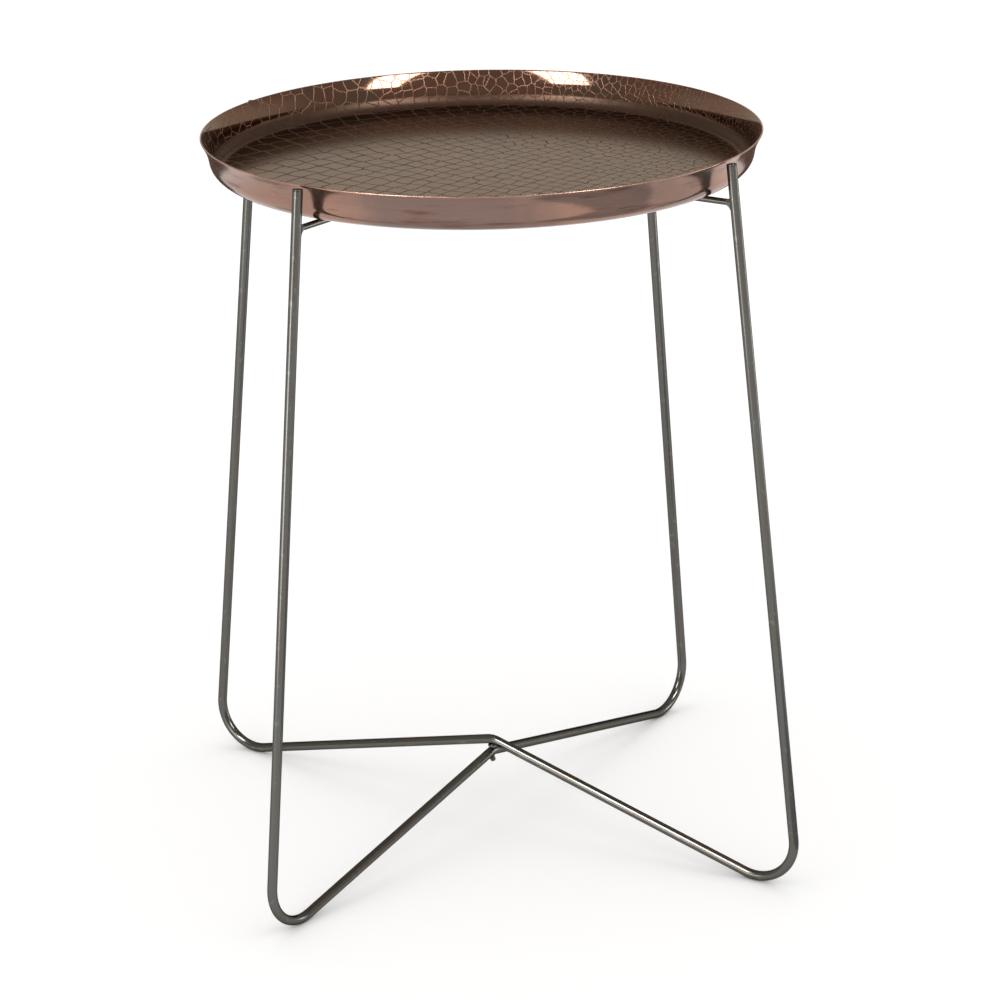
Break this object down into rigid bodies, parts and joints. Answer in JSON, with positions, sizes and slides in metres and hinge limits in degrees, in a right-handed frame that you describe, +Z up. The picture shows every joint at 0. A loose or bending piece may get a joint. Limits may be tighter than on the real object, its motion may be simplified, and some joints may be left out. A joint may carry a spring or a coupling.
{
  "type": "folding tray table",
  "caption": "Round shallow copper-finish tray that lifts off a folding stand of two crossed bent metal rods, which turn about a vertical pivot pin under the tray.",
  "frame": {"origin": "on the floor, on the axis of the pivot pin, midway between the four feet", "axes": "+Z up; the lower rod frame lies in the XZ plane, with its left leg on -X; the upper frame's front leg is close to -Y"},
  "size_m": [0.59, 0.5886, 0.6],
  "materials": {
    "copper_finish": "antique copper plate, brushed outside, dark etched crackle inside",
    "gunmetal_rod": "blackened steel rod, satin lacquer",
    "gunmetal_peg": "blackened steel rod, satin lacquer",
    "weld_metal": "blackened weld bead",
    "dark_pin": "blackened steel, peened end",
    "washer_steel": "worn dark steel"
  },
  "bodies": {
    "lower_stand": {"lower_frame": "gunmetal_rod", "lower_left_peg": "gunmetal_peg", "lower_right_peg": "gunmetal_peg", "lower_left_weld": "weld_metal", "lower_right_weld": "weld_metal"},
    "upper_stand": {"upper_frame": "gunmetal_rod", "upper_front_peg": "gunmetal_peg", "upper_back_peg": "gunmetal_peg", "upper_front_weld": "weld_metal", "upper_back_weld": "weld_metal", "pivot_pin": "dark_pin", "pivot_washer": "washer_steel"},
    "tray_body": {"tray": "copper_finish"}
  },
  "joints": [
    {"name": "stand_fold", "type": "hinge", "parent": "lower_stand", "child": "upper_stand", "pos_m": [0, 0, 0.0575], "axis": [0, 0, 1], "range_deg": [-89, 82]},
    {"name": "tray_lift", "type": "slide", "parent": "lower_stand", "child": "tray_body", "axis": [0, 0, 1], "range_m": [0, 0.12]}
  ]
}
